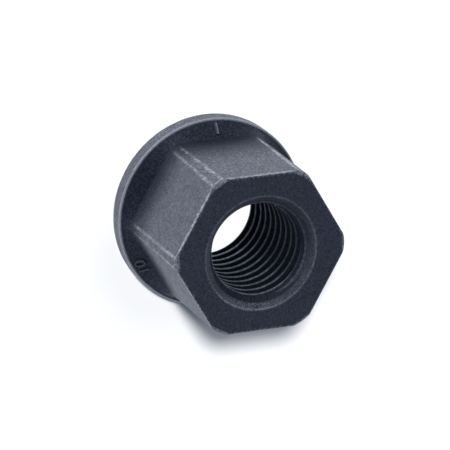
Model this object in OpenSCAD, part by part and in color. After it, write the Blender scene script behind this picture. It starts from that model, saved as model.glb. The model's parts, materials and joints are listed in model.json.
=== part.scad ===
// Collar nut: a tall hexagon nut that stands on a round collar with a sloping top.
// It is one forging, turned flat underneath and tapped right through.
// The origin is the centre of the bearing face, and +Z runs along the thread
// towards the free end, so the nut stands on its collar. Sizes are in millimetres.

/* [Hexagon] */
// Width across the flats, the spanner size
across_flats = 30; // [29.5:0.1:30.5]
// Width across the dulled corners at the free end
across_corners = 33.5; // [33:0.1:33.6]
// How much wider the corners are at the collar, since the die's corners taper
corner_taper = 0.3; // [0.1:0.1:0.4]
// Height from the bearing face to the free end
nut_height = 28.6; // [22:0.1:36]
// Rounding where the flats turn into the free end
end_edge_round = 0.2; // [0.1:0.05:0.6]
// Width of the free end's chamfer circle, just inside the corners
end_chamfer_across = 32.4; // [32:0.1:32.8]
// Slope of that chamfer below the free end, in degrees
end_chamfer_angle = 45; // [20:1:50]

/* [Collar] */
// Diameter of the collar
collar_across = 37; // [37:0.1:40]
// Height of the collar where the flats of the hexagon rise from it
collar_height = 6; // [5:0.1:7]
// Height of the collar's rim, the foot of its sloping top
rim_height = 3.5; // [3:0.1:4.2]
// Rounding of the collar's upper rim, on the spanner side
collar_top_round = 0.45; // [0.2:0.05:0.5]
// Narrow flat ring between that rounding and the foot of the slope
rim_land = 0.1; // [0.05:0.05:0.3]
// How far the foot of the slope lies further in under the flats than at the corners
flat_foot_inset = 0.15; // [0.1:0.05:0.3]
// Rounding of the collar's lower rim, at the bearing face
collar_bottom_round = 0.3; // [0.1:0.05:0.5]
// Hollow fillet where the flats grow out of the slope
root_fillet = 0.8; // [0.3:0.1:1.2]

/* [Thread] */
// Nominal diameter of the thread
thread_across = 20; // [18:0.5:20]
// Distance from one thread crest to the next
thread_pitch = 2.5; // [1.5:0.5:2.5]
// Diameter of the countersink at the free end
countersink_across = 21.8; // [21:0.1:22.5]
// Diameter of the countersink in the bearing face
bearing_countersink_across = 20.4; // [20:0.1:21.6]
// Included angle of the countersinks, in degrees
countersink_angle = 90; // [80:5:120]

/* [Collar mark] */
// Length of the raised bar on the collar, up the slope
bar_length = 2.4; // [1:0.1:2.8]
// Width of the raised bar
bar_width = 0.6; // [0.3:0.1:1.5]
// How far the bar stands up from the collar
bar_height = 0.25; // [0.1:0.05:0.6]
// Where the bar's outer end is, measured from the thread axis
bar_reach = 17.7; // [17:0.1:17.7]
// Direction of the bar around the nut, in degrees from +X
bar_direction = 208; // [0:1:359]

/* [Hidden] */
black_steel = [0.20, 0.20, 0.22];
// A basic metric thread's crests stand 1.0825 pitches inside its nominal size, across.
crest_across = thread_across - 1.0825 * thread_pitch;
end_corner = across_corners / 2;
root_corner = end_corner + corner_taper / 2;
// The sloping top falls from the hexagon's outline to its foot, a full circle under
// the corners and straight lines under the flats.
slope_foot = collar_across / 2 - collar_top_round - rim_land;
flat_slope_foot = slope_foot - flat_foot_inset;
slope_drop = collar_height - rim_height;
flat_slope = atan(slope_drop / (flat_slope_foot - across_flats / 2));
// Solids that are joined sink this far into each other.
sink = 1;
// Cutters run this far past the face they cut.
overrun = 1;
$fn = 96;

collar_nut();

module collar_nut() {
    color(black_steel)
    difference() {
        union() {
            collar();
            hexagon();
            collar_bar();
        }
        thread_bore();
    }
}

// The hexagon is what three slabs, one for each pair of flats, have in common.
// A turned blank shared with them dulls the corners and chamfers the free end.
// Slabs and blank all spread at the foot, and that makes the collar's sloping top.
module hexagon() {
    intersection() {
        flat_pair(0);
        flat_pair(60);
        flat_pair(120);
        turned_blank();
    }
}

module flat_pair(turn) {
    rotate([0, 0, turn])
    rotate([90, 0, 90])
    linear_extrude(height = 2 * collar_across, center = true)
    union() {
        half_flat_profile();
        mirror([1, 0]) half_flat_profile();
    }
}

// Half of a slab's section: the flat, its rounded end edge, its root fillet and
// the slope below it.
module half_flat_profile() {
    apothem = across_flats / 2;
    difference() {
        polygon([
            [0, rim_height - sink],
            [flat_slope_foot, rim_height - sink],
            [flat_slope_foot, rim_height],
            [apothem, collar_height],
            [apothem, nut_height],
            [0, nut_height]
        ]);
        translate([apothem - end_edge_round, nut_height - end_edge_round])
        difference() {
            square(end_edge_round + overrun);
            circle(end_edge_round);
        }
    }
    root_fillet_profile(apothem);
}

// The fillet touches the flat and the slope: this is the wedge between them, less
// the circle that touches both.
module root_fillet_profile(apothem) {
    reach = root_fillet * tan((90 - flat_slope) / 2);
    difference() {
        polygon([
            [apothem - sink, collar_height + reach],
            [apothem, collar_height + reach],
            [apothem + reach * cos(flat_slope), collar_height - reach * sin(flat_slope)],
            [apothem - sink, collar_height - reach]
        ]);
        translate([apothem + root_fillet, collar_height + reach]) circle(root_fillet);
    }
}

// The turned blank: its radius is the corner radius, which tapers, and its foot
// spreads to the full circle of the slope.
module turned_blank() {
    chamfer_drop = (end_corner - end_chamfer_across / 2) * tan(end_chamfer_angle);
    rotate_extrude()
    polygon([
        [0, rim_height - 2 * sink],
        [slope_foot, rim_height - 2 * sink],
        [slope_foot, rim_height],
        [root_corner, collar_height],
        [end_corner, nut_height - chamfer_drop],
        [end_chamfer_across / 2, nut_height],
        [0, nut_height]
    ]);
}

// The foot of the collar is turned, and both its rims are rounded.
module collar() {
    rim = collar_across / 2;
    rotate_extrude()
    difference() {
        square([rim, rim_height]);
        translate([rim - collar_top_round, rim_height - collar_top_round])
        difference() {
            square(collar_top_round + overrun);
            circle(collar_top_round);
        }
        translate([rim - collar_bottom_round, collar_bottom_round])
        difference() {
            translate([0, -collar_bottom_round - overrun])
            square(collar_bottom_round + overrun);
            circle(collar_bottom_round);
        }
    }
}

// A short plain bar lies on the slope and points at the thread axis.
module collar_bar() {
    climb = (flat_slope_foot - bar_reach) * tan(flat_slope);
    rotate([0, 0, bar_direction])
    translate([bar_reach, 0, rim_height + climb])
    rotate([0, flat_slope, 0])
    translate([-bar_length, -bar_width / 2, -sink])
    cube([bar_length, bar_width, bar_height + sink]);
}

// The bore is cut at the thread's crest diameter and countersunk at both ends.
module thread_bore() {
    translate([0, 0, -overrun])
    cylinder(d = crest_across, h = nut_height + 2 * overrun);
    countersink(bearing_countersink_across);
    translate([0, 0, nut_height]) mirror([0, 0, 1]) countersink(countersink_across);
}

module countersink(mouth) {
    slope = tan(countersink_angle / 2);
    translate([0, 0, -overrun])
    cylinder(
        r1 = mouth / 2 + overrun * slope,
        r2 = crest_across / 2,
        h = (mouth - crest_across) / 2 / slope + overrun
    );
}
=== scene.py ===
# %% [markdown]
# # A collar nut in blackened steel
# This lesson dresses a CAD model of a forged nut. The nut is one piece of
# steel: a tall hexagon for the spanner, a round collar that spreads the load,
# and a thread that runs right through. Sizes of the nut are in millimetres, and
# MM turns them into metres, which Blender works in. The table and the lamps are
# given in metres.

# %% Open the CAD frame
import math
import bmesh
import bpy
from mathutils import Matrix, Vector
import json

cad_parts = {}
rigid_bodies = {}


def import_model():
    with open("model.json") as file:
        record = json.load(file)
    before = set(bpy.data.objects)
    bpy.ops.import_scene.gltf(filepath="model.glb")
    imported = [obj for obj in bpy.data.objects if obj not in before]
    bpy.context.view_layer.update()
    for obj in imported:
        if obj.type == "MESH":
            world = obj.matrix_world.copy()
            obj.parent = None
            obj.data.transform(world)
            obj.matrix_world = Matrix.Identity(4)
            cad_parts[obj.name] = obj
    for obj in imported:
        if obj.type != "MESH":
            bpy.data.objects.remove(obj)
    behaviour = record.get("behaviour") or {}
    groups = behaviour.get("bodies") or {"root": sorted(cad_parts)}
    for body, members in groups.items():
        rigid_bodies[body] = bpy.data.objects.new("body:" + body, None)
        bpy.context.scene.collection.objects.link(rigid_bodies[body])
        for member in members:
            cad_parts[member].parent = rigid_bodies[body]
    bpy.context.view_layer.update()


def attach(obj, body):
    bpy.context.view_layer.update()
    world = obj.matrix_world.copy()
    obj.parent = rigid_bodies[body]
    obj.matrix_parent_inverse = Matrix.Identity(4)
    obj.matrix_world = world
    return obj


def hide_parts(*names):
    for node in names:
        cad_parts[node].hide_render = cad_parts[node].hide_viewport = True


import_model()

MM = 0.001

# %% [markdown]
# ## Camera
# The photograph looks down on the free end of the nut from about 60 degrees up,
# with a long lens, and the picture is turned so that the nut seems to lean
# towards the lower right. The camera's place and its two picture directions
# were found by matching the outlines of the hexagon, the collar and the hole.

# %% Camera
PICTURE_WIDTH = 450            # in pixels
FOCAL_LENGTH = 3845.8          # in pixels too
SENSOR_WIDTH = 36
camera_place = Vector((-76.01, -330.85, 643.13)) * MM
picture_right = Vector((-0.4654, 0.8061, 0.3656)).normalized()
picture_up = Vector((-0.8787, -0.3712, -0.3001))
picture_up = (picture_up - picture_up.dot(picture_right) * picture_right).normalized()
towards_camera = picture_right.cross(picture_up)

camera_data = bpy.data.cameras.new("camera")
camera_data.sensor_width = SENSOR_WIDTH
camera_data.lens = SENSOR_WIDTH * FOCAL_LENGTH / PICTURE_WIDTH
camera_data.clip_start = 0.01
camera_data.clip_end = 20
camera = bpy.data.objects.new("camera", camera_data)
bpy.context.scene.collection.objects.link(camera)
camera.matrix_world = Matrix.Translation(camera_place) @ Matrix(
    (picture_right, picture_up, towards_camera)).transposed().to_4x4()
bpy.context.scene.camera = camera
bpy.context.scene.view_settings.view_transform = "Standard"
print("lens", round(camera_data.lens, 1), "mm, looking along", -towards_camera)

# %% [markdown]
# ## The forged body
# On the real nut a hot blank is pressed into a hexagon that stands on a collar.
# Here the hexagon is drawn as two six-sided outlines, one at its root and one at
# its free end, and the flats are bridged between them. The corners are cut back
# in each outline, so they taper as the die leaves them. Three corners keep a
# clear flat band, and the other three have been knocked rounder.

# %% Sizes of the body
ACROSS_FLATS = 30.0
NUT_HEIGHT = 28.6
COLLAR_RADIUS = 18.5
COLLAR_HEIGHT = 6.0            # where the flats rise from the collar
RIM_HEIGHT = 3.5
SLOPE_FOOT = 17.95             # radius where the collar's sloping top begins

apothem = ACROSS_FLATS / 2
sharp_corner = apothem / math.cos(math.pi / 6)
body = bmesh.new()
print("distance from the axis to a sharp corner:", round(sharp_corner, 2))

# %% Two outlines of the hexagon
BANDED_CORNERS = (180, 240, 300)
BAND_CUTS = (0.95, 1.3)        # banded corners, cut back at the root and at the end
WORN_CUTS = (1.2, 2.2)
BAND_SHAPE, WORN_SHAPE = 0.33, 0.45      # a quarter cuts straight, a half is round
CORNER_STEPS = 8
POINTS_ALONG_FLAT = 15
LONG_EDGE = 5.0                # an outline's edge is longer than this on a flat only
NEAR = 0.01                    # a point this near to a height or a circle lies on it


def corner_direction(point):
    """The direction of a corner in whole degrees, from 0 to 359."""
    return round(math.degrees(math.atan2(point.co.y, point.co.x))) % 360


def edges_at(at_height):
    """The edges of the body that lie level at one height."""
    return [e for e in body.edges
            if all(abs(v.co.z - at_height * MM) < NEAR * MM for v in e.verts)]


def hexagon_outline(at_height, band_cut, worn_cut):
    """Draws one outline as a face and gives back its edges."""
    corners = bmesh.ops.create_circle(body, cap_ends=True, segments=6,
                                      radius=sharp_corner * MM)["verts"]
    bmesh.ops.rotate(body, verts=corners, cent=(0, 0, 0),
                     matrix=Matrix.Rotation(math.radians(30), 3, "Z"))
    bmesh.ops.translate(body, verts=corners, vec=(0, 0, at_height * MM))
    banded = [c for c in corners if corner_direction(c) in BANDED_CORNERS]
    worn = [c for c in corners if c not in banded]
    for group, cut, shape in ((banded, band_cut, BAND_SHAPE),
                              (worn, worn_cut, WORN_SHAPE)):
        bmesh.ops.bevel(body, geom=group, affect="VERTICES", offset=cut * MM,
                        segments=CORNER_STEPS, profile=shape, material=-1)
    on_flats = [e for e in edges_at(at_height) if e.calc_length() > LONG_EDGE * MM]
    bmesh.ops.subdivide_edges(body, edges=on_flats, cuts=POINTS_ALONG_FLAT)
    return edges_at(at_height)


root = hexagon_outline(COLLAR_HEIGHT, BAND_CUTS[0], WORN_CUTS[0])
end = hexagon_outline(NUT_HEIGHT, BAND_CUTS[1], WORN_CUTS[1])
print("root outline:", len(root), "edges, end outline:", len(end), "edges")

# %% [markdown]
# The flats are bridged between the outlines. The root outline is then extruded
# outwards: each new point slides along its own radius until it lies on a circle,
# so one row of faces makes the collar's sloping top. The rim follows, and one
# face closes the bottom.


# %% Bridge the flats and spread the collar
def new_parts(result, kind):
    return [g for g in result["geom"] if isinstance(g, kind)]


def spread(edges, to_radius, to_height):
    """Extrudes a closed row of edges and slides it to a circle at some height."""
    row = bmesh.ops.extrude_edge_only(body, edges=edges)
    for point in new_parts(row, bmesh.types.BMVert):
        outwards = Vector((point.co.x, point.co.y)).normalized() * to_radius * MM
        point.co = (outwards.x, outwards.y, to_height * MM)
    return [e for e in new_parts(row, bmesh.types.BMEdge)
            if all(abs(v.co.xy.length - to_radius * MM) < NEAR * MM for v in e.verts)]


under = [f for f in body.faces if f.calc_center_median().z < NUT_HEIGHT / 2 * MM]
bmesh.ops.delete(body, geom=under, context="FACES_ONLY")
bmesh.ops.bridge_loops(body, edges=root + end)
slope_foot = spread(root, SLOPE_FOOT, RIM_HEIGHT)
rim_top = spread(slope_foot, COLLAR_RADIUS, RIM_HEIGHT)
rim_bottom = bmesh.ops.extrude_edge_only(body, edges=rim_top)
bmesh.ops.translate(body, verts=new_parts(rim_bottom, bmesh.types.BMVert),
                    vec=(0, 0, -RIM_HEIGHT * MM))
bmesh.ops.edgeloop_fill(body, edges=[e for e in body.edges if e.is_boundary])
bmesh.ops.recalc_face_normals(body, faces=body.faces)
print("body closed:", all(e.is_manifold for e in body.edges))

# %% [markdown]
# No edge of a forging is knife-sharp. The die leaves a hollow fillet where the
# flats meet the collar, and tumbling and handling round the rest. Each rounding
# is a bevel of its own, because each has its own width.

# %% Round the edges
COLLAR_TOP_ROUND = 0.45
COLLAR_BOTTOM_ROUND = 0.3
ROOT_ROUND = 0.4
END_ROUND = 0.2
MARGIN = 0.1                   # edges are sought this far on both sides of a radius


def round_off(at_height, least_radius, most_radius, width, steps):
    """Rounds the level edges at one height, between two distances from the axis."""
    edges = [e for e in edges_at(at_height)
             if all(least_radius * MM <= v.co.xy.length <= most_radius * MM
                    for v in e.verts)]
    bmesh.ops.bevel(body, geom=edges, affect="EDGES", offset=width * MM,
                    segments=steps, profile=0.5, material=-1)


round_off(RIM_HEIGHT, COLLAR_RADIUS - MARGIN, COLLAR_RADIUS + MARGIN,
          COLLAR_TOP_ROUND, steps=5)
round_off(0, COLLAR_RADIUS - MARGIN, COLLAR_RADIUS + MARGIN,
          COLLAR_BOTTOM_ROUND, steps=4)
round_off(COLLAR_HEIGHT, apothem - MARGIN, sharp_corner, ROOT_ROUND, steps=5)
round_off(NUT_HEIGHT, apothem - MARGIN, sharp_corner, END_ROUND, steps=3)
print("body:", len(body.faces), "faces, closed:",
      all(e.is_manifold for e in body.edges))

# %% [markdown]
# ## Tools that cut the nut
# The workshop cuts the nut with turned and helical tools, so the script makes
# the same tools and subtracts them. A turned tool is a profile spun once round
# the axis. The first one trims the corners at the free end, and two more are
# the countersinks that let a screw find the thread.

# %% Turned tools
END_CHAMFER_RADIUS = 16.2
END_CHAMFER_SOFTENING = 0.15
TRIMMER_SHOULDER = 15.0        # the trimmer stands clear of the nut up to here
CLEARANCE = 2.0                # and by this much
COUNTERSINK_RADIUS = 10.9
BEARING_COUNTERSINK_RADIUS = 10.2
COUNTERSINK_SLOPE = math.tan(math.radians(45))
OVERRUN = 1.0                  # how far a cutter runs past the face that it cuts
TURNING_STEPS = 192
MERGE_DISTANCE = 0.0005


def tool_object(name, mesh_maker):
    """Turns a bmesh into an object in the scene."""
    mesh = bpy.data.meshes.new(name)
    mesh_maker.to_mesh(mesh)
    mesh_maker.free()
    tool = bpy.data.objects.new(name, mesh)
    bpy.context.scene.collection.objects.link(tool)
    return tool


def turned_tool(name, profile):
    """A closed solid made by spinning (radius, height) points round the axis."""
    tool = bmesh.new()
    points = [tool.verts.new((radius * MM, 0, height * MM))
              for radius, height in profile]
    lines = [tool.edges.new(pair) for pair in zip(points, points[1:])]
    bmesh.ops.spin(tool, geom=points + lines, cent=(0, 0, 0), axis=(0, 0, 1),
                   angle=math.tau, steps=TURNING_STEPS, use_merge=True)
    bmesh.ops.remove_doubles(tool, verts=tool.verts, dist=MERGE_DISTANCE * MM)
    bmesh.ops.recalc_face_normals(tool, faces=tool.faces)
    return tool_object(name, tool)


trimmer = turned_tool("trimmer", [
    (0, -CLEARANCE), (COLLAR_RADIUS + CLEARANCE, -CLEARANCE),
    (COLLAR_RADIUS + CLEARANCE, TRIMMER_SHOULDER),
    (END_CHAMFER_RADIUS + 2 * CLEARANCE, NUT_HEIGHT - 2 * CLEARANCE),
    (END_CHAMFER_RADIUS + END_CHAMFER_SOFTENING, NUT_HEIGHT - END_CHAMFER_SOFTENING),
    (END_CHAMFER_RADIUS - END_CHAMFER_SOFTENING, NUT_HEIGHT),
    (END_CHAMFER_RADIUS - CLEARANCE, NUT_HEIGHT + OVERRUN),
    (0, NUT_HEIGHT + OVERRUN)])
lower_countersink = turned_tool("lower_countersink", [
    (0, -OVERRUN),
    (BEARING_COUNTERSINK_RADIUS + OVERRUN * COUNTERSINK_SLOPE, -OVERRUN),
    (0, BEARING_COUNTERSINK_RADIUS / COUNTERSINK_SLOPE)])
upper_countersink = turned_tool("upper_countersink", [
    (0, NUT_HEIGHT + OVERRUN),
    (COUNTERSINK_RADIUS + OVERRUN * COUNTERSINK_SLOPE, NUT_HEIGHT + OVERRUN),
    (0, NUT_HEIGHT - COUNTERSINK_RADIUS / COUNTERSINK_SLOPE)])
print("turned tools:", trimmer.name, lower_countersink.name, upper_countersink.name)

# %% [markdown]
# ## The tap
# A tap cuts the thread. Its teeth follow a helix, so its shape is one tooth
# profile, one pitch tall, that climbs one pitch for each turn. Blender's spin
# can climb as it turns: dvec is the rise at each step. The last point of one
# turn meets the first of the next, and merging them makes one skin. A basic
# metric thread has flanks 60 degrees apart, a quarter of the pitch flat on its
# crests and an eighth flat at its roots.

# %% Tap
THREAD_RADIUS = 10.0
PITCH = 2.5
CREST_RADIUS = THREAD_RADIUS - 1.0825 * PITCH / 2      # of a basic metric thread
CREST_DULLING = 0.05
CREST_HEIGHT_AT_X = 0.883      # a crest's middle, above the bearing face at +X
TURNS_BELOW = 2                # whole turns that start below that crest
TURNS = 16
STEPS_PER_TURN = 120
TAP_MERGE_DISTANCE = 0.002

crest_flat = PITCH / 4
flank = (THREAD_RADIUS - CREST_RADIUS) * math.tan(math.radians(30))
tooth_start = CREST_HEIGHT_AT_X - crest_flat / 2 - TURNS_BELOW * PITCH
tooth = [(0, CREST_RADIUS + CREST_DULLING),
         (CREST_DULLING, CREST_RADIUS),
         (crest_flat - CREST_DULLING, CREST_RADIUS),
         (crest_flat, CREST_RADIUS + CREST_DULLING),
         (crest_flat + flank, THREAD_RADIUS),
         (PITCH - flank, THREAD_RADIUS),
         (PITCH, CREST_RADIUS + CREST_DULLING)]

tap_mesh = bmesh.new()
tooth_points = [tap_mesh.verts.new((radius * MM, 0, (tooth_start + rise) * MM))
                for rise, radius in tooth]
tooth_lines = [tap_mesh.edges.new(pair)
               for pair in zip(tooth_points, tooth_points[1:])]
bmesh.ops.spin(tap_mesh, geom=tooth_points + tooth_lines, cent=(0, 0, 0),
               axis=(0, 0, 1), dvec=(0, 0, PITCH / STEPS_PER_TURN * MM),
               angle=math.tau * TURNS, steps=STEPS_PER_TURN * TURNS)
bmesh.ops.remove_doubles(tap_mesh, verts=tap_mesh.verts, dist=TAP_MERGE_DISTANCE * MM)
for cut_height, upwards in ((-OVERRUN, 1), (NUT_HEIGHT + OVERRUN, -1)):
    bmesh.ops.bisect_plane(
        tap_mesh, geom=tap_mesh.verts[:] + tap_mesh.edges[:] + tap_mesh.faces[:],
        plane_co=(0, 0, cut_height * MM), plane_no=(0, 0, upwards), clear_inner=True)
bmesh.ops.holes_fill(tap_mesh, edges=tap_mesh.edges, sides=0)
bmesh.ops.recalc_face_normals(tap_mesh, faces=tap_mesh.faces)
print("tap:", len(tap_mesh.faces), "faces, closed:",
      all(e.is_manifold for e in tap_mesh.edges))
tap = tool_object("tap", tap_mesh)

# %% [markdown]
# ## Raised marks
# The die also leaves small raised marks on the collar's slope: a short bar that
# points at the axis, and a plain number. Both are made flat, tilted by the angle
# of the slope and then turned to their place round the nut. The bar is a cube
# whose edges are bevelled. The number is a text object turned into a mesh.

# %% Bar
SINK = 0.6                     # how far a mark reaches into the collar
BAR_LENGTH, BAR_WIDTH, BAR_HEIGHT = 2.4, 0.6, 0.25
BAR_REACH = 17.7               # distance of the bar's outer end from the axis
BAR_DIRECTION = 208
BAR_ROUND = 0.1
slope_angle = math.atan2(COLLAR_HEIGHT - RIM_HEIGHT, SLOPE_FOOT - apothem)


def lay_on_slope(mark, reach, direction):
    """Tilts a flat mark, made at the origin, and carries it out to the slope."""
    tilt = Matrix.Rotation(slope_angle, 4, "Y")
    climb = (SLOPE_FOOT - reach) * math.tan(slope_angle)
    carry = Matrix.Translation(Vector((reach, 0, RIM_HEIGHT + climb)) * MM)
    turn = Matrix.Rotation(math.radians(direction), 4, "Z")
    bmesh.ops.transform(mark, verts=mark.verts, matrix=turn @ carry @ tilt)


bar_mesh = bmesh.new()
bmesh.ops.create_cube(bar_mesh, size=MM)
bmesh.ops.scale(bar_mesh, verts=bar_mesh.verts,
                vec=(BAR_LENGTH, BAR_WIDTH, BAR_HEIGHT + SINK))
bmesh.ops.bevel(bar_mesh, geom=bar_mesh.edges[:], affect="EDGES",
                offset=BAR_ROUND * MM, segments=2, profile=0.5, material=-1)
bmesh.ops.translate(bar_mesh, verts=bar_mesh.verts,
                    vec=Vector((-BAR_LENGTH, 0, BAR_HEIGHT - SINK)) / 2 * MM)
lay_on_slope(bar_mesh, BAR_REACH, BAR_DIRECTION)
bar = tool_object("bar", bar_mesh)
print("bar:", len(bar.data.polygons), "faces")

# %% Number
NUMBER_SIZE, NUMBER_HEIGHT = 3.3, 0.24
NUMBER_REACH = 16.6            # distance of the number's middle from the axis
NUMBER_DIRECTION = 331
NUMBER_CURVE_STEPS = 4
NUMBER_MERGE_DISTANCE = 0.001

number_text = bpy.data.curves.new("number_text", "FONT")
number_text.body = "10"
number_text.size = NUMBER_SIZE * MM
number_text.align_x = "CENTER"
number_text.align_y = "CENTER"
number_text.extrude = (NUMBER_HEIGHT + SINK) / 2 * MM
number_text.resolution_u = NUMBER_CURVE_STEPS
number_maker = bpy.data.objects.new("number_maker", number_text)
bpy.context.scene.collection.objects.link(number_maker)
bpy.context.view_layer.update()
number_mesh = bmesh.new()
number_mesh.from_mesh(number_maker.to_mesh())
bpy.data.objects.remove(number_maker)
bmesh.ops.remove_doubles(number_mesh, verts=number_mesh.verts,
                         dist=NUMBER_MERGE_DISTANCE * MM)
bmesh.ops.rotate(number_mesh, verts=number_mesh.verts, cent=(0, 0, 0),
                 matrix=Matrix.Rotation(math.radians(-90), 3, "Z"))
bmesh.ops.translate(number_mesh, verts=number_mesh.verts,
                    vec=(0, 0, (NUMBER_HEIGHT - SINK) / 2 * MM))
lay_on_slope(number_mesh, NUMBER_REACH, NUMBER_DIRECTION)
number = tool_object("number", number_mesh)
print("number:", len(number.data.polygons), "faces")

# %% [markdown]
# ## Cut and finish the nut
# Boolean modifiers add the marks and subtract the tools, in the order of the
# workshop. The result is baked into one mesh and the tools are thrown away. The
# Weighted Normal modifier then keeps the large flat faces flat in the render,
# while the narrow rounded strips between them stay smooth.

# %% Cut the nut
SHARP_ANGLE = 25               # steeper edges stay sharp in the shading
CUTS = ((bar, "UNION"), (number, "UNION"), (trimmer, "INTERSECT"),
        (tap, "DIFFERENCE"), (lower_countersink, "DIFFERENCE"),
        (upper_countersink, "DIFFERENCE"))


def bake_modifiers(thing):
    """Replaces an object's mesh by what its modifiers make of it."""
    bpy.context.view_layer.update()
    seen = thing.evaluated_get(bpy.context.evaluated_depsgraph_get())
    baked = bpy.data.meshes.new_from_object(seen)
    thing.modifiers.clear()
    thing.data = baked


nut = tool_object("nut", body)
for tool, operation in CUTS:
    cut = nut.modifiers.new(tool.name, "BOOLEAN")
    cut.object = tool
    cut.operation = operation
    cut.solver = "EXACT"
bake_modifiers(nut)
for tool, operation in CUTS:
    bpy.data.objects.remove(tool)

finish_pass = bmesh.new()
finish_pass.from_mesh(nut.data)
bmesh.ops.remove_doubles(finish_pass, verts=finish_pass.verts,
                         dist=MERGE_DISTANCE * MM)
bmesh.ops.dissolve_degenerate(finish_pass, edges=finish_pass.edges,
                              dist=MERGE_DISTANCE * MM)
print("nut:", len(finish_pass.faces), "faces, open edges:",
      sum(not e.is_manifold for e in finish_pass.edges))
finish_pass.to_mesh(nut.data)
finish_pass.free()
nut.data.shade_smooth()
nut.data.set_sharp_from_angle(angle=math.radians(SHARP_ANGLE))
weighting = nut.modifiers.new("flat_faces_stay_flat", "WEIGHTED_NORMAL")
weighting.keep_sharp = True
bake_modifiers(nut)
nut.name = "forged_nut"
print("box of the nut:", [round(v / MM, 2) for v in nut.dimensions])

# %% [markdown]
# ## Black phosphate finish
# The steel has a thin black phosphate coat. It is matt, with a fine crystal
# grain, and it is rubbed grey along every edge that touches other nuts in the
# box. The coat is drawn from noise of several sizes. Glints on the grain and
# highlights on some edges are painted into the colour, and so is shade in the
# hollows, on the collar's slope and in the bore.
# The rubbed edges are found by measuring: each edge of the nut lies at a known
# distance from the axis, so simple sums on the Object coordinates tell how
# near a point is to an edge. This also holds in every view.
#
# Each helper adds one kind of node and gives back its result. A ramp does most
# of the work: it turns a distance into a mask, which is 1 where something
# applies and 0 elsewhere. Products join masks, and the largest of several wins.

# %% Node helpers
finish = bpy.data.materials.new("black_phosphate_steel")
finish.use_nodes = True
nodes = finish.node_tree.nodes
coat = nodes["Principled BSDF"]


def feed(socket, value):
    """Links a node's output to a socket, or sets the socket to a value."""
    if isinstance(value, bpy.types.NodeSocket):
        socket.id_data.links.new(value, socket)
    else:
        socket.default_value = value


def calculate(operation, first, second=0.0, third=0.0):
    """One Math node."""
    node = nodes.new("ShaderNodeMath")
    node.operation = operation
    for socket, value in zip(node.inputs, (first, second, third)):
        feed(socket, value)
    return node.outputs[0]


def chain(operation, values):
    """Joins several values by one operation, from left to right."""
    result = values[0]
    for value in values[1:]:
        result = calculate(operation, result, value)
    return result


def total(*values):
    return chain("ADD", values)


def product(*values):
    return chain("MULTIPLY", values)


def largest(*values):
    return chain("MAXIMUM", values)


def less(value, taken_away):
    return calculate("SUBTRACT", value, taken_away)


def ramp(value, start, end, low=0.0, high=1.0):
    """Goes smoothly from low to high as the value goes from start to end."""
    node = nodes.new("ShaderNodeMapRange")
    node.interpolation_type = "SMOOTHSTEP"
    for socket, setting in zip(node.inputs, (value, start, end, low, high)):
        feed(socket, setting)
    return node.outputs[0]


def noise(size, detail=2.0, roughness=0.5):
    """Noise whose blotches are about this many millimetres across."""
    node = nodes.new("ShaderNodeTexNoise")
    feed(node.inputs["Vector"], place)
    feed(node.inputs["Scale"], 1.0 / size)
    feed(node.inputs["Detail"], detail)
    feed(node.inputs["Roughness"], roughness)
    return node.outputs["Fac"]


def blend(amount, first, second):
    """Mixes two colours; sockets 6 and 7 of a Mix node take colours."""
    node = nodes.new("ShaderNodeMix")
    node.data_type = "RGBA"
    feed(node.inputs["Factor"], amount)
    feed(node.inputs[6], first)
    feed(node.inputs[7], second)
    return node.outputs[2]


where = nodes.new("ShaderNodeTexCoord")
in_millimetres = nodes.new("ShaderNodeVectorMath")
in_millimetres.operation = "SCALE"
feed(in_millimetres.inputs[0], where.outputs["Object"])
feed(in_millimetres.inputs["Scale"], 1.0 / MM)
place = in_millimetres.outputs[0]
split = nodes.new("ShaderNodeSeparateXYZ")
feed(split.inputs[0], place)
x, y, height = split.outputs
print("a point is known by", x.name, y.name, height.name)

# %% [markdown]
# ### Measure a point
# Two more measures tell where a point lies: its radius, which is its distance
# from the axis, and its distance from the axis square to the nearest flat. How
# far out it lies in some direction picks one side of the nut.

# %% Measure a point
RAGGED_SIZE = 0.7
FLAT_DIRECTIONS = (30, 90, 150)          # and the three opposite ones
LIT_DIRECTION = 15                       # towards the bottom of the picture
TOP_DIRECTION = 205                      # towards its top


def reach_along(direction):
    """How far out a point lies in one direction round the nut, in degrees from +X."""
    angle = math.radians(direction)
    return total(product(x, math.cos(angle)), product(y, math.sin(angle)))


radius = calculate("SQRT", total(product(x, x), product(y, y)))
across = largest(*[calculate("ABSOLUTE", reach_along(direction))
                   for direction in FLAT_DIRECTIONS])
# From -1 to 1, to make the borders of masks ragged.
ragged = product(less(noise(RAGGED_SIZE, 3.0, 0.6), 0.5), 2.0)
print("measures:", len(nodes), "nodes so far")

# %% [markdown]
# ### Rubbed edges
# Where two faces meet, the sum of two measures is greatest on the edge itself:
# on a disc, radius plus height is greatest at the upper rim. So an edge is rubbed
# where such a sum is near its peak. A rounded edge stays short of the sharp
# edge's sum, by its rounding times a fixed share. The flat bands at three
# corners have an edge on each side, and the worn corners are rubbed across their
# whole width. Where a ramp has a name, the name holds where it starts and ends
# and then, if they aren't 0 and 1, its values there.

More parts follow.
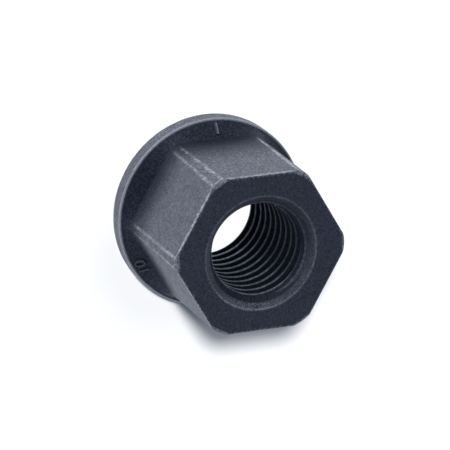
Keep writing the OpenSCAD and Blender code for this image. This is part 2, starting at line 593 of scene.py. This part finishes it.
# %% Rubbed edges
ROUND_LOSS = 2 - math.sqrt(2)            # that share
RAGGED_BORDER = 1.5                      # how far noise moves a border, in widths
FULLY_RUBBED = 0.25                      # this near the edge, in widths
END_EDGE_WIDTH, END_CORNER_WIDTH = 0.7, 0.4
BAND_EDGE_WIDTH, FOOT_EDGE_WIDTH = 0.16, 0.2
RIM_EDGE_START, RIM_EDGE_FULL = 0.22, 0.1
RIM_RAGGED, CORNER_RAGGED = 0.06, 0.3    # in millimetres
END_EDGE_LOSS = 0.15
BAND_RADIUS_AT_ROOT, BAND_RADIUS_AT_END = 16.87, 16.72
# The band edges at this corner get a painted highlight on top of their rubbing.
HIGHLIGHT_CORNER = 180
WORN_CORNERS = (0, 60, 120)
PATCH_SIZE = 2.4
PATCHES = (0.4, 0.6, 0.45, 1.0)
HEXAGON_STARTS = (COLLAR_HEIGHT + 0.5, COLLAR_HEIGHT + 3)
RIM_ENDS = (RIM_HEIGHT + 0.15, RIM_HEIGHT + 0.02)
BANDS_BRIGHTEN = (NUT_HEIGHT - 14, NUT_HEIGHT - 4, 0.6, 1.0)
HIGHLIGHT_SIDE = (14.0, 16.0, 1.0, 2.0)
WORN_WIDTH = (16.0, 16.8, 0.0, 0.6)


def near_ridge(measures, peak, width):
    """1 on an edge, where a sum of two measures peaks, and 0 away from it."""
    uneven = calculate("MULTIPLY_ADD", ragged, RAGGED_BORDER * width, measures)
    return ramp(uneven, peak - width, peak - FULLY_RUBBED * width)


on_hexagon = ramp(height, *HEXAGON_STARTS)
on_rim = ramp(height, *RIM_ENDS)
patchy = ramp(noise(PATCH_SIZE), *PATCHES)

end_edge = near_ridge(total(product(across, 2.0), height),
                      2 * apothem + NUT_HEIGHT - END_EDGE_LOSS, END_EDGE_WIDTH)
end_corner = near_ridge(total(radius, height), END_CHAMFER_RADIUS + NUT_HEIGHT,
                        END_CORNER_WIDTH)
foot_edge = near_ridge(less(radius, height),
                       COLLAR_RADIUS - ROUND_LOSS * COLLAR_BOTTOM_ROUND,
                       FOOT_EDGE_WIDTH)
rim_sum = COLLAR_RADIUS + RIM_HEIGHT - ROUND_LOSS * COLLAR_TOP_ROUND
rim_edge = product(on_rim, ramp(
    calculate("MULTIPLY_ADD", ragged, RIM_RAGGED, total(radius, height)),
    rim_sum - RIM_EDGE_START, rim_sum - RIM_EDGE_FULL))
band_radius = ramp(height, COLLAR_HEIGHT, NUT_HEIGHT,
                   BAND_RADIUS_AT_ROOT, BAND_RADIUS_AT_END)
# Rubbed band edges; a painted highlight doubles them at the corner towards the upper
# right of the picture.
band_edge = product(
    on_hexagon, patchy,
    near_ridge(less(total(across, radius), band_radius), apothem, BAND_EDGE_WIDTH),
    ramp(height, *BANDS_BRIGHTEN),
    ramp(reach_along(HIGHLIGHT_CORNER), *HIGHLIGHT_SIDE))
towards_corner = largest(*[reach_along(corner) for corner in WORN_CORNERS])
worn_corner = product(on_hexagon, patchy, ramp(
    calculate("MULTIPLY_ADD", ragged, CORNER_RAGGED, towards_corner), *WORN_WIDTH))
edges = largest(end_edge, end_corner, band_edge, worn_corner, foot_edge)
print("rubbed edges:", len(nodes), "nodes so far")

# %% [markdown]
# ### Countersinks and thread
# Both mouths of the bore are rubbed in a ring, and a third, fainter bright ring
# lies inside the upper countersink; a painted highlight makes all three brighter
# on the lit side. Painted shade makes the thread's grooves black, darker deeper
# in, and darkens a ring at the foot of the upper countersink, less on its lit
# side. The crests are bare steel, dimmed by painted shade towards the right of
# the picture. The raised marks are rubbed where they stand above the slope.

# %% Countersinks and thread
INNER_RING_DEPTH, INNER_RING_RADIUS = 1.55, 9.35
RING_RAGGED, RING_WIDTH = 0.12, (0.3, 0.1)
CONE_STARTS = (NUT_HEIGHT - COUNTERSINK_RADIUS - 0.1,
               NUT_HEIGHT - COUNTERSINK_RADIUS - 0.03)
LIT_SIDE = (7.5, 10.2)
INNER_RING_LIT = (0.0, 1.0, 1.0, 1.6)
RINGS_LIT = (0.0, 1.0, 0.7, 1.8)
CONE_DARKENS = (9.4, 9.15, 0.0, 0.45)
LIT_CONE_CLEARS = (0.0, 1.0, 1.0, 0.4)
THREAD_ENDS = (THREAD_RADIUS + 0.15, THREAD_RADIUS + 0.05)
THREAD_STARTS = (BEARING_COUNTERSINK_RADIUS + 0.05, BEARING_COUNTERSINK_RADIUS + 0.15)
THREAD_DARKENS = (NUT_HEIGHT - 1, NUT_HEIGHT - 7, 0.4, 0.7)
CREST_BARED = (CREST_RADIUS + 0.14, CREST_RADIUS + 0.03)
CREST_SHADE_DIRECTION = 120            # painted shade dims the crests on this side
CREST_SHADE = (3.5, 8.0, 1.0, 0.35)
MARK_STANDS_UP = (0.08, 0.18)
MARKS_START = (apothem + 0.45, apothem + 0.6)
MARKS_END = (SLOPE_FOOT - 0.1, SLOPE_FOOT - 0.2)


def near_ring(ring_height, ring_radius):
    """1 on a ring round the axis at one height, such as a countersink's mouth."""
    aside = less(radius, ring_radius)
    above = less(height, ring_height)
    apart = calculate("SQRT", total(product(aside, aside), product(above, above)))
    return ramp(calculate("MULTIPLY_ADD", ragged, RING_RAGGED, apart), *RING_WIDTH)


on_cone = ramp(less(height, radius), *CONE_STARTS)
lit_side = ramp(reach_along(LIT_DIRECTION), *LIT_SIDE)
inner_ring = product(
    on_cone, near_ring(NUT_HEIGHT - INNER_RING_DEPTH, INNER_RING_RADIUS),
    ramp(lit_side, *INNER_RING_LIT))
# Rubbed rings at both mouths and the inner ring, with a painted highlight on the lit
# side.
rings_and_highlight = product(
    largest(near_ring(0.0, BEARING_COUNTERSINK_RADIUS),
            near_ring(NUT_HEIGHT, COUNTERSINK_RADIUS), inner_ring),
    ramp(lit_side, *RINGS_LIT))
# Painted shade on a ring at the foot of the upper countersink, lighter on the lit
# side.
painted_cone_shade = product(on_cone, ramp(radius, *CONE_DARKENS),
                    ramp(lit_side, *LIT_CONE_CLEARS))
# Painted shade in the thread's grooves, darker deeper in the bore.
painted_thread_shade = product(less(1.0, on_cone), ramp(radius, *THREAD_ENDS),
                    ramp(total(height, radius), *THREAD_STARTS),
                    ramp(height, *THREAD_DARKENS))
# Bare steel on the crests, with painted shade that dims them towards the right of the
# picture.
bare_crests_shaded = product(ramp(radius, *CREST_BARED),
                 ramp(reach_along(CREST_SHADE_DIRECTION), *CREST_SHADE))

slope = math.tan(slope_angle)
above_slope = less(height, calculate(
    "MULTIPLY_ADD", across, -slope, COLLAR_HEIGHT + apothem * slope))
mark_tops = product(ramp(above_slope, *MARK_STANDS_UP), ramp(across, *MARKS_START),
                    ramp(radius, *MARKS_END))
print("countersinks and thread:", len(nodes), "nodes so far")

# %% [markdown]
# ### Tone of the coat and painted shade
# Four sizes of noise, each with its share, make the coat's light and dark grain.
# Painted shade makes the coat blackest in the hollow round the root and on the
# collar's slope, and it fades up the flats. It reaches further up the flat beside
# the bar, and is a little darker on the one beside the number.

# %% Tone of the coat and painted shade
COAT_DARK = (0.072, 0.078, 0.096, 1)
COAT_LIGHT = (0.215, 0.232, 0.285, 1)
# The next colour is painted shade: the coat is mixed towards it where shade falls.
SHADE_BLACK = (0.0085, 0.013, 0.028, 1)
BAR_FLAT, NUMBER_FLAT = 210, 330         # directions of the flats beside the marks
ROOT_SHADE_REACH = 9.5                       # the painted root shade ends this far up the flats
ROOT_SHADE_REACH_AT_BAR = 5.0                # and this much further beside the bar
ROOT_SHADE_DEPTH = 0.82
DARKER_SHADE_AT_BAR, DARKER_SHADE_AT_NUMBER = 0.12, 0.06
GRAIN_SIZE, SPECKLE_SIZE, CLOUD_SIZE, SMUDGE_SIZE = 0.42, 0.2, 3.0, 1.3
ON_FLAT = (apothem - 1, apothem - 0.1)
SLOPE_STARTS = (RIM_HEIGHT - 0.1, RIM_HEIGHT + 0.1)
SLOPE_ENDS = (COLLAR_HEIGHT + 0.15, COLLAR_HEIGHT - 0.15)
SLOPE_GRAIN = (0.35, 0.65, 0.97, 0.82)
SLOPE_TOP, SLOPE_TOP_LIGHTER = (10.0, 17.0), -0.1
OUTSIDE_BORE = (THREAD_RADIUS, THREAD_RADIUS + 1)
ABOVE_SLOPE = (COLLAR_HEIGHT - 1.0, COLLAR_HEIGHT)
NUMBER_FLAT_DARKENS = (NUT_HEIGHT - 12, NUT_HEIGHT - 3, 0.0, 0.18)
CONE_TOP_DARKENS = (4.0, 9.0, 0.0, 0.4)

grain = noise(GRAIN_SIZE, 2.0, 0.6)
speckle = noise(SPECKLE_SIZE, 1.0)
clouds = noise(CLOUD_SIZE, 3.0, 0.55)
smudges = noise(SMUDGE_SIZE)
tone = total(*[product(ramp(pattern, dark, light), share)
               for pattern, dark, light, share in ((grain, 0.36, 0.64, 0.45),
                                                   (clouds, 0.3, 0.7, 0.1),
                                                   (smudges, 0.35, 0.65, 0.15),
                                                   (speckle, 0.4, 0.62, 0.3))])

at_bar = ramp(reach_along(BAR_FLAT), *ON_FLAT)
at_number = ramp(reach_along(NUMBER_FLAT), *ON_FLAT)
on_slope = product(ramp(height, *SLOPE_STARTS), ramp(height, *SLOPE_ENDS))
root_shade_top = calculate("MULTIPLY_ADD", at_bar, ROOT_SHADE_REACH_AT_BAR,
                       COLLAR_HEIGHT + ROOT_SHADE_REACH)
root_shade_depth = calculate(
    "MULTIPLY_ADD", at_number, DARKER_SHADE_AT_NUMBER,
    calculate("MULTIPLY_ADD", at_bar, DARKER_SHADE_AT_BAR, ROOT_SHADE_DEPTH))
# Painted shade in the hollow round the root, fading up the flats.
painted_root_shade = product(ramp(height, root_shade_top, COLLAR_HEIGHT, 0.0, root_shade_depth),
                      ramp(radius, *OUTSIDE_BORE), ramp(height, *ABOVE_SLOPE))
# Painted shade on the collar's slope, a little lighter towards the top of the picture.
painted_slope_shade = product(on_slope, calculate(
    "MULTIPLY_ADD", ramp(reach_along(TOP_DIRECTION), *SLOPE_TOP), SLOPE_TOP_LIGHTER,
    ramp(grain, *SLOPE_GRAIN)))
# Painted shade towards the free end of the flat beside the number.
painted_number_flat_shade = product(at_number, ramp(height, *NUMBER_FLAT_DARKENS))
# Painted shade on the side of the upper countersink towards the top of the picture.
painted_cone_top_shade = product(on_cone, ramp(reach_along(TOP_DIRECTION), *CONE_TOP_DARKENS))
# All the painted shade together: how far the coat is mixed towards the shade colour.
painted_shade = largest(painted_root_shade, painted_slope_shade, painted_number_flat_shade, painted_cone_top_shade,
                    painted_thread_shade, painted_cone_shade)
coat_colour = blend(painted_shade, blend(tone, COAT_DARK, COAT_LIGHT), SHADE_BLACK)
print("tone:", len(nodes), "nodes so far")

# %% [markdown]
# ### Rubbing and painted glints
# Rubbing is never even, so noise breaks the edges up. Glints of the crystals are
# painted on the flats, most of all beside the bar, and on the lit side of the
# countersink, with pale smudges on the flat beside the number. A painted
# highlight makes the bar brightest on the side that is to the right in the picture.

# %% Rubbing and painted glints
# A pale grey for rubbed steel, used as well for painted glints and highlights.
RUBBED_AND_HIGHLIGHT = (0.52, 0.54, 0.60, 1)
CREST_STEEL = (0.56, 0.64, 0.72, 1)
GLINT, GLINT_AT_BAR = 0.3, 0.6
BREAKUP_SIZE, GLINT_SIZE = 0.55, 0.3
BREAKUP = (0.38, 0.6, 0.2, 1.0)
CRYSTAL_GLINTS = (0.56, 0.7)
PALE_SMUDGES = (0.42, 0.66, 0.0, 0.12)
CONE_CRYSTAL_GLINTS = (0.53, 0.6, 0.0, 0.85)
BAR_HIGHLIGHT_SIDES = (0.1, -0.12, 0.18, 0.6)
RIM_BREAKUP = (0.0, 1.0, 0.75, 1.0)
CREST_BREAKUP = (0.0, 1.0, 0.45, 0.95)

breakup = ramp(noise(BREAKUP_SIZE, 3.0, 0.65), *BREAKUP)
# Painted glints: bright crystals on the flats, strongest beside the bar, pale smudges
# on the flat beside the number, and glints on the lit side of the countersink.
painted_glints_and_smudges = largest(
    product(ramp(noise(GLINT_SIZE, 2.0, 0.7), *CRYSTAL_GLINTS),
            calculate("MULTIPLY_ADD", at_bar, GLINT_AT_BAR, GLINT)),
    product(at_number, ramp(smudges, *PALE_SMUDGES)),
    product(on_cone, lit_side, ramp(speckle, *CONE_CRYSTAL_GLINTS)))
# A painted highlight brightens the rubbed top of the bar on its side to the right of
# the picture; the number's tops stay dimmer.
bar_highlight_side = ramp(reach_along(BAR_DIRECTION + 90), *BAR_HIGHLIGHT_SIDES)
# Rubbed edges, rings, rim and mark tops, with the painted highlights and glints, all
# mixed towards one pale grey.
rubbed_and_highlights = largest(
    calculate("MINIMUM", product(largest(edges, rings_and_highlight), breakup), 1.0),
    product(rim_edge, ramp(breakup, *RIM_BREAKUP)),
    product(mark_tops, bar_highlight_side),
    product(painted_glints_and_smudges, less(1.0, painted_shade)))
worn_bare_crests_shaded = product(bare_crests_shaded, ramp(breakup, *CREST_BREAKUP))
steel_colour = blend(worn_bare_crests_shaded, blend(rubbed_and_highlights, coat_colour, RUBBED_AND_HIGHLIGHT), CREST_STEEL)
print("rubbing:", len(nodes), "nodes so far")

# %% [markdown]
# ### Gloss and relief
# The grain is both in the colour and, as a bump, in the surface. The coat hardly
# shines, and what it reflects is bluish. Only the bare crests look like metal.

# %% Gloss and relief
CREST_METAL = 0.35
COAT_SHINE = 0.1
SHINE_COLOUR = (0.5, 0.7, 1.0, 1)
GRAIN_ROUGHNESS = (0.2, 0.8, 0.62, 0.45)
RELIEF_STRENGTH, RELIEF_DEPTH = 0.8, 0.07
SPECKLE_RELIEF, CLOUD_RELIEF = 0.5, 0.6

feed(coat.inputs["Base Color"], steel_colour)
feed(coat.inputs["Metallic"], product(worn_bare_crests_shaded, CREST_METAL))
feed(coat.inputs["Roughness"], ramp(grain, *GRAIN_ROUGHNESS))
feed(coat.inputs["Specular IOR Level"], COAT_SHINE)
feed(coat.inputs["Specular Tint"], SHINE_COLOUR)

relief = nodes.new("ShaderNodeBump")
feed(relief.inputs["Height"], total(grain, product(speckle, SPECKLE_RELIEF),
                                    product(clouds, CLOUD_RELIEF)))
feed(relief.inputs["Strength"], RELIEF_STRENGTH)
feed(relief.inputs["Distance"], RELIEF_DEPTH * MM)
feed(coat.inputs["Normal"], relief.outputs["Normal"])

nut.data.materials.clear()
nut.data.materials.append(finish)
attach(nut, "root")
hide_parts("collar_nut")
print("finish:", len(nodes), "nodes")

# %% [markdown]
# ## Table
# The nut stands on a white table. Through the bore one looks at the table in the
# nut's own shade, where it would be grey. So rays that see it directly find a
# small white spot there, as white as the backdrop, which lights nothing.

# %% Table
TABLE_RADIUS, TABLE_CORNERS = 4.0, 64
TABLE_WHITENESS = 0.9
SPOT_RADIUS = 10.6             # in millimetres, just wider than the lower mouth


def seen_directly(tree):
    """1 for rays from the camera, in mirrors or through glass, and 0 for light."""
    rays = tree.nodes.new("ShaderNodeLightPath")
    seen = rays.outputs["Is Camera Ray"]
    for kind in ("Is Glossy Ray", "Is Transmission Ray"):
        either = tree.nodes.new("ShaderNodeMath")
        either.operation = "MAXIMUM"
        feed(either.inputs[0], seen)
        feed(either.inputs[1], rays.outputs[kind])
        seen = either.outputs[0]
    return seen


table_mesh = bmesh.new()
bmesh.ops.create_circle(table_mesh, cap_ends=True, segments=TABLE_CORNERS,
                        radius=TABLE_RADIUS)
table = tool_object("table", table_mesh)
table_finish = bpy.data.materials.new("white_table")
table_finish.use_nodes = True
table_nodes = table_finish.node_tree.nodes
table_coat = table_nodes["Principled BSDF"]
feed(table_coat.inputs["Base Color"], (*[TABLE_WHITENESS] * 3, 1))
feed(table_coat.inputs["Roughness"], 1.0)
feed(table_coat.inputs["Specular IOR Level"], 0.0)

table_place = table_nodes.new("ShaderNodeTexCoord")
table_reach = table_nodes.new("ShaderNodeVectorMath")
table_reach.operation = "LENGTH"
feed(table_reach.inputs[0], table_place.outputs["Object"])
in_spot = table_nodes.new("ShaderNodeMath")
in_spot.operation = "LESS_THAN"
feed(in_spot.inputs[0], table_reach.outputs["Value"])
feed(in_spot.inputs[1], SPOT_RADIUS * MM)
spot_seen = table_nodes.new("ShaderNodeMath")
spot_seen.operation = "MULTIPLY"
feed(spot_seen.inputs[0], in_spot.outputs[0])
feed(spot_seen.inputs[1], seen_directly(table_finish.node_tree))
spot_white = table_nodes.new("ShaderNodeEmission")
table_mix = table_nodes.new("ShaderNodeMixShader")
feed(table_mix.inputs[0], spot_seen.outputs[0])
feed(table_mix.inputs[1], table_coat.outputs[0])
feed(table_mix.inputs[2], spot_white.outputs[0])
feed(table_nodes["Material Output"].inputs["Surface"], table_mix.outputs[0])
table.data.materials.append(table_finish)
print("table:", len(table_nodes), "nodes")

# %% [markdown]
# ## Light
# The table has two soft suns, which only the table receives, so the background
# is white and the nut keeps a shadow without any extra light on the steel. The
# stronger sun casts the shadow below the nut, and the broad, weak one casts a
# faint one to the left. The steel is lit like a still life, by three long soft
# lamps that stand almost level with it: the strongest at the upper left of the
# picture, a weaker one at the bottom and another at the right. The ends of the
# nut, which face the sky, stay dark, as in the photograph.

# %% Lamps
NUT_MIDDLE = 15                # height of the point that the lamps look at

table_only = bpy.data.collections.new("table_only")
table_only.objects.link(table)
nut_only = bpy.data.collections.new("nut_only")
nut_only.objects.link(nut)


def place_light(data, towards, receivers):
    """Adds a light that shines from the given direction on one collection."""
    lamp = bpy.data.objects.new(data.name, data)
    bpy.context.scene.collection.objects.link(lamp)
    direction = Vector(towards).normalized()
    lamp.rotation_euler = direction.to_track_quat("Z", "Y").to_euler()
    lamp.light_linking.receiver_collection = receivers
    return lamp, direction


def table_sun(name, towards, angle, share):
    """A soft sun for the table; shares that add up to 1 make the table white."""
    data = bpy.data.lights.new(name, "SUN")
    data.angle = math.radians(angle)
    sun, direction = place_light(data, towards, table_only)
    data.energy = share * math.pi / TABLE_WHITENESS / direction.z


def soft_lamp(name, azimuth, elevation, distance, width, tall, watts):
    """A rectangular lamp that looks at the middle of the nut."""
    data = bpy.data.lights.new(name, "AREA")
    data.shape = "RECTANGLE"
    data.size, data.size_y = width, tall
    data.energy = watts
    azimuth, elevation = math.radians(azimuth), math.radians(elevation)
    lamp, direction = place_light(
        data, (math.cos(elevation) * math.cos(azimuth),
               math.cos(elevation) * math.sin(azimuth), math.sin(elevation)), nut_only)
    lamp.location = direction * distance + Vector((0, 0, NUT_MIDDLE * MM))


table_sun("table_sun", (-0.26, -0.535, 1.0), angle=8, share=0.83)
table_sun("table_side_sun", (-0.45, 0.08, 1.0), angle=24, share=0.14)
soft_lamp("key_lamp", 240, 6, distance=0.6, width=0.35, tall=0.06, watts=1.0)
soft_lamp("low_lamp", 15, 4, distance=0.5, width=0.2, tall=0.04, watts=0.36)
soft_lamp("far_lamp", 110, 6, distance=0.6, width=0.3, tall=0.06, watts=0.45)
print("lights:", [light.name for light in bpy.data.lights])

# %% [markdown]
# The sky is white where it is seen directly, and lights the nut as a dim, bluish
# sky.

# %% Sky
SKY_COLOUR, SKY_STRENGTH = (0.6, 0.75, 1.0, 1), 0.16

sky = bpy.data.worlds.new("sky")
sky.use_nodes = True
bpy.context.scene.world = sky
sky_nodes = sky.node_tree.nodes
white_sky = sky_nodes["Background"]
feed(white_sky.inputs["Color"], (1, 1, 1, 1))
feed(white_sky.inputs["Strength"], 1.0)
dim_sky = sky_nodes.new("ShaderNodeBackground")
feed(dim_sky.inputs["Color"], SKY_COLOUR)
feed(dim_sky.inputs["Strength"], SKY_STRENGTH)
sky_mix = sky_nodes.new("ShaderNodeMixShader")
feed(sky_mix.inputs[0], seen_directly(sky.node_tree))
feed(sky_mix.inputs[1], dim_sky.outputs[0])
feed(sky_mix.inputs[2], white_sky.outputs[0])
feed(sky_nodes["World Output"].inputs["Surface"], sky_mix.outputs[0])
print("sky:", len(sky_nodes), "nodes")

# %% Finish
import json
